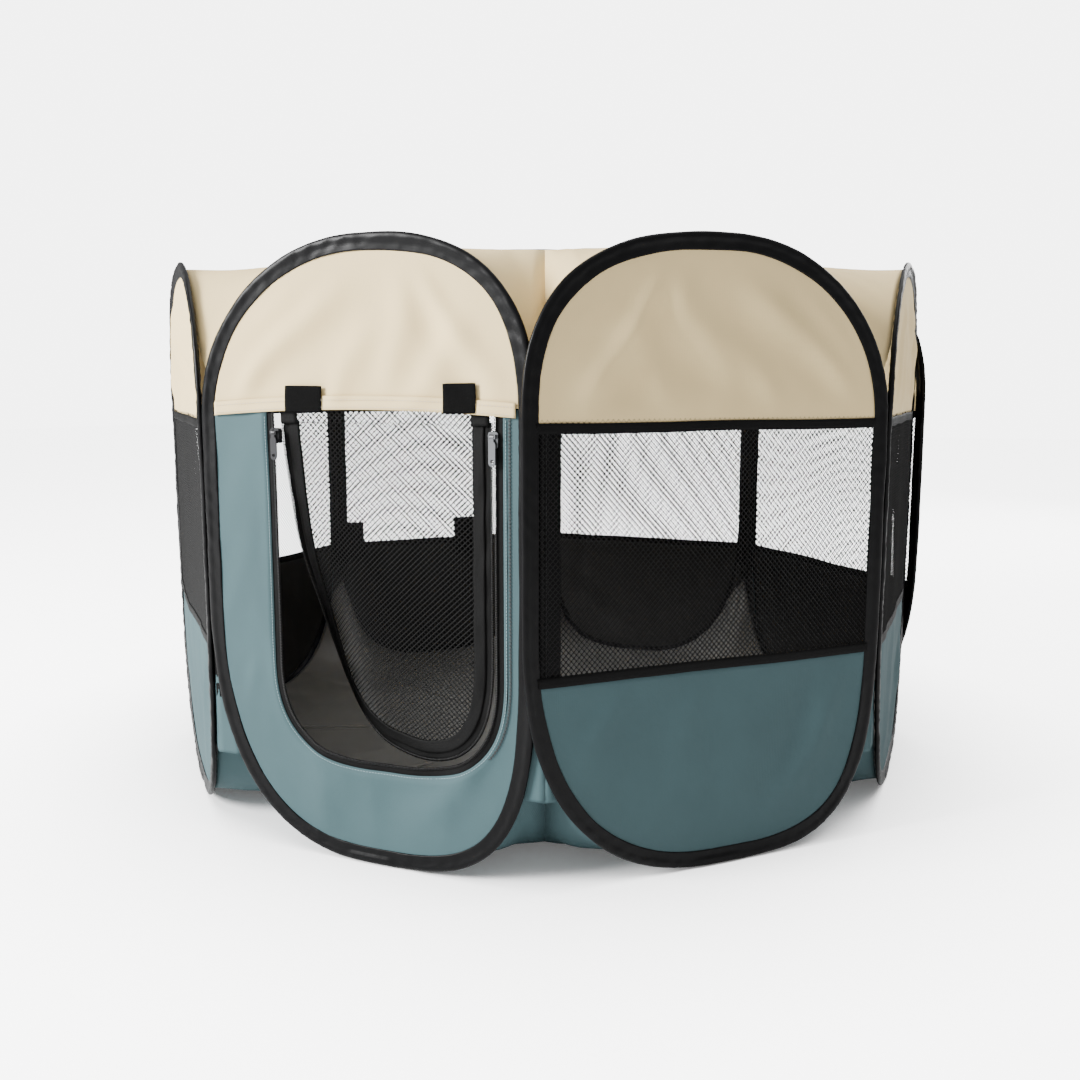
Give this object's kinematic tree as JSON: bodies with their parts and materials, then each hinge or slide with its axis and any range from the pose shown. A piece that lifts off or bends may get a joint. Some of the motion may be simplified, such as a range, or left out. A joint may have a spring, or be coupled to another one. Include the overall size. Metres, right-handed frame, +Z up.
{
  "type": "folding pet playpen",
  "caption": "Folding fabric pet playpen with arched panels, net windows, a zipped net door, fabric floor and net roof.",
  "frame": {"origin": "on the ground under the middle of the octagon", "axes": "+Z up; the door panel faces -Y, so +X is to the right of somebody who faces the door"},
  "size_m": [0.8948, 0.8948, 0.5814],
  "materials": {
    "binding_fabric": "satin",
    "upper_fabric": "matt",
    "lower_fabric": "matt",
    "floor_fabric": "satin",
    "netting": "matt",
    "zip": "matt",
    "slider_metal": "polished",
    "spring_wire": "bright"
  },
  "bodies": {
    "door_panel": {"door_hoop": "spring_wire", "door_sleeve": "binding_fabric", "door_upper_wall": "upper_fabric", "door_surround": "lower_fabric", "door_zip_tape": "zip", "door_hook_patches": "binding_fabric", "floor": "floor_fabric", "roof_collar": "upper_fabric", "roof_zip": "zip"},
    "door_flap": {"door_flap_net": "netting", "door_flap_binding": "binding_fabric"},
    "slider_left": {"door_slider_left": "slider_metal"},
    "slider_right": {"door_slider_right": "slider_metal"},
    "pull_left": {"door_pull_left": "slider_metal"},
    "pull_right": {"door_pull_right": "slider_metal"},
    "roof_cover": {"roof_cover": "netting"},
    "roof_slider": {"roof_slider": "slider_metal"},
    "roof_pull": {"roof_pull": "slider_metal"},
    "panel_1": {"hoop_1": "spring_wire", "sleeve_1": "binding_fabric", "upper_wall_1": "upper_fabric", "net_1": "netting", "lower_wall_1": "lower_fabric", "tapes_1": "binding_fabric"},
    "panel_2": {"hoop_2": "spring_wire", "sleeve_2": "binding_fabric", "upper_wall_2": "upper_fabric", "net_2": "netting", "lower_wall_2": "lower_fabric", "tapes_2": "binding_fabric"},
    "panel_3": {"hoop_3": "spring_wire", "sleeve_3": "binding_fabric", "upper_wall_3": "upper_fabric", "net_3": "netting", "lower_wall_3": "lower_fabric", "tapes_3": "binding_fabric"},
    "panel_4": {"hoop_4": "spring_wire", "sleeve_4": "binding_fabric", "upper_wall_4": "upper_fabric", "net_4": "netting", "lower_wall_4": "lower_fabric", "tapes_4": "binding_fabric"},
    "panel_5": {"hoop_5": "spring_wire", "sleeve_5": "binding_fabric", "upper_wall_5": "upper_fabric", "net_5": "netting", "lower_wall_5": "lower_fabric", "tapes_5": "binding_fabric"},
    "panel_6": {"hoop_6": "spring_wire", "sleeve_6": "binding_fabric", "upper_wall_6": "upper_fabric", "net_6": "netting", "lower_wall_6": "lower_fabric", "tapes_6": "binding_fabric"},
    "panel_7": {"hoop_7": "spring_wire", "sleeve_7": "binding_fabric", "upper_wall_7": "upper_fabric", "net_7": "netting", "lower_wall_7": "lower_fabric", "tapes_7": "binding_fabric"}
  },
  "joints": [
    {"name": "fold", "type": "hinge", "parent": "door_panel", "child": "panel_1", "pos_m": [0.17655, -0.42623, 0.33], "axis": [0, 0, 1], "range_deg": [0, 130.95], "deforming": ["floor", "roof_collar", "roof_zip", "roof_cover", "roof_slider", "roof_pull", "door_flap_net", "door_flap_binding"]},
    {"name": "fold_2", "type": "hinge", "parent": "panel_1", "child": "panel_2", "pos_m": [0.43323, -0.17945, 0.33], "axis": [0, 0, 1], "range_deg": [-218.3, 0]},
    {"name": "fold_3", "type": "hinge", "parent": "panel_2", "child": "panel_3", "pos_m": [0.42623, 0.17655, 0.33], "axis": [0, 0, 1], "range_deg": [0, 131]},
    {"name": "fold_4", "type": "hinge", "parent": "panel_3", "child": "panel_4", "pos_m": [0.178, 0.42973, 0.33], "axis": [0, 0, 1], "range_deg": [-43.7, 0]},
    {"name": "fold_7", "type": "hinge", "parent": "door_panel", "child": "panel_7", "pos_m": [-0.178, -0.42973, 0.33], "axis": [0, 0, 1], "range_deg": [0, 43.7]},
    {"name": "fold_6", "type": "hinge", "parent": "panel_7", "child": "panel_6", "pos_m": [-0.42623, -0.17655, 0.33], "axis": [0, 0, 1], "range_deg": [-131, 0]},
    {"name": "fold_5", "type": "hinge", "parent": "panel_6", "child": "panel_5", "pos_m": [-0.43323, 0.17945, 0.33], "axis": [0, 0, 1], "range_deg": [0, 218.3]},
    {"name": "flap", "type": "hinge", "parent": "door_panel", "child": "door_flap", "pos_m": [0.021, -0.42773, 0.41], "axis": [1, 0, 0], "range_deg": [-171, 84]},
    {"name": "slide_left", "type": "slide", "parent": "door_panel", "child": "slider_left", "axis": [0, 0, 1], "range_m": [-0.19, 0]},
    {"name": "slide_right", "type": "slide", "parent": "door_panel", "child": "slider_right", "axis": [0, 0, 1], "range_m": [-0.19, 0]},
    {"name": "pull_left", "type": "hinge", "parent": "slider_left", "child": "pull_left", "pos_m": [-0.0907, -0.43548, 0.405], "axis": [1, 0, 0], "range_deg": [-170, 0]},
    {"name": "pull_right", "type": "hinge", "parent": "slider_right", "child": "pull_right", "pos_m": [0.1317, -0.43548, 0.405], "axis": [1, 0, 0], "range_deg": [-170, 0]},
    {"name": "cover_lift", "type": "slide", "parent": "door_panel", "child": "roof_cover", "axis": [0, 0, 1], "range_m": [0, 0.4]},
    {"name": "roof_slide", "type": "hinge", "parent": "door_panel", "child": "roof_slider", "pos_m": [0, 0, 0.574], "axis": [0, 0, 1], "range_deg": [-170, 170]},
    {"name": "roof_pull", "type": "hinge", "parent": "roof_slider", "child": "roof_pull", "pos_m": [0.003, -0.298, 0.5798], "axis": [0, 1, 0], "range_deg": [0, 170]}
  ],
  "couplings": [
    {"joint": "fold_2", "follows": "fold", "ratio": -1.6667},
    {"joint": "fold_3", "follows": "fold", "ratio": 1},
    {"joint": "fold_4", "follows": "fold", "ratio": -0.33333},
    {"joint": "fold_7", "follows": "fold", "ratio": 0.33333},
    {"joint": "fold_6", "follows": "fold", "ratio": -1},
    {"joint": "fold_5", "follows": "fold", "ratio": 1.6667}
  ]
}
